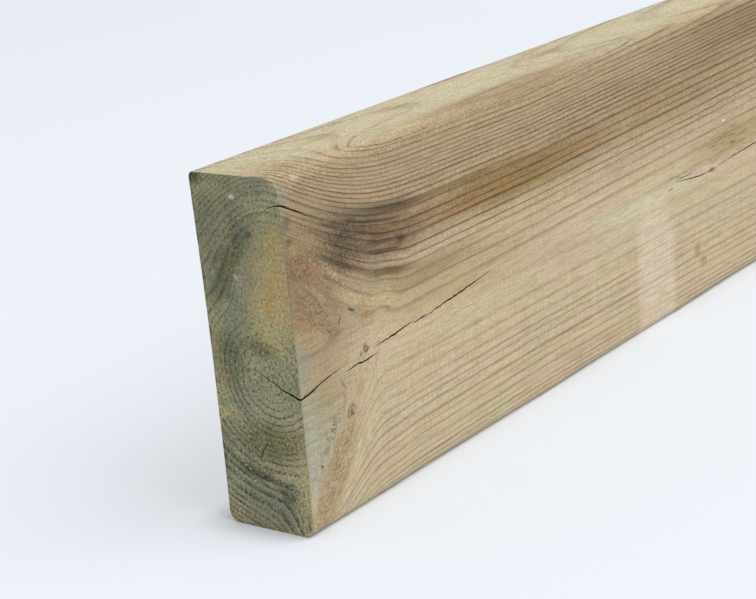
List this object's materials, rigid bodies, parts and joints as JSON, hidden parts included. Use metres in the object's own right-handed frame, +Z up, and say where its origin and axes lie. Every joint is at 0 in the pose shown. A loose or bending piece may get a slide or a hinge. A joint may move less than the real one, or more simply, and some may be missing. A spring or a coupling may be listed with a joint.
{
  "type": "railway sleeper",
  "caption": "Sawn softwood railway sleeper in one length, standing on its narrow edge, slightly cupped, with eased arrises and drying splits at one end; for bed edging, steps and low walls.",
  "frame": {"origin": "middle of the footprint on the floor, under the sleeper as it stands on its narrow edge", "axes": "+X along the length, away from the split end; +Y through the thickness, towards the concave wide face; +Z up"},
  "size_m": [2.4, 0.0614, 0.2],
  "materials": {
    "treated_softwood": "sawn and lightly planed, pressure treated, weathered grey-green at the end"
  },
  "bodies": {
    "root": {"sleeper": "treated_softwood"}
  },
  "joints": []
}
